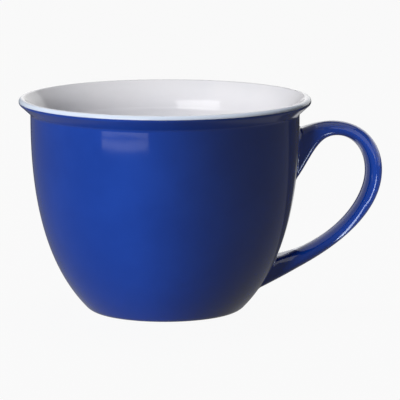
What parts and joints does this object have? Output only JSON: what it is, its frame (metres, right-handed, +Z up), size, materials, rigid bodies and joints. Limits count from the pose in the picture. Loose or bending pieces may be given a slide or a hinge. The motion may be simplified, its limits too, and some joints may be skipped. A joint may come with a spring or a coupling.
{
  "type": "soup mug",
  "caption": "Wide ceramic soup mug with a flared lip, a foot ring and a strap handle, glazed blue outside and white inside, for soup or hot drinks.",
  "frame": {"origin": "on the bowl's axis, in the plane that the foot ring stands on", "axes": "+Z up along the bowl's axis, +X from the axis out through the handle"},
  "size_m": [0.1493, 0.12, 0.088],
  "materials": {
    "bare_clay": "fired, unglazed, fine and matt",
    "slip": "fired, unglazed",
    "white_glaze": "glossy",
    "blue_glaze": "glossy"
  },
  "bodies": {
    "root": {"bowl": "bare_clay", "handle": "bare_clay", "upper_slip_joint": "slip", "lower_slip_joint": "slip", "inner_glaze": "white_glaze", "outer_glaze": "blue_glaze", "handle_glaze": "blue_glaze", "underside_glaze": "white_glaze"}
  },
  "joints": []
}
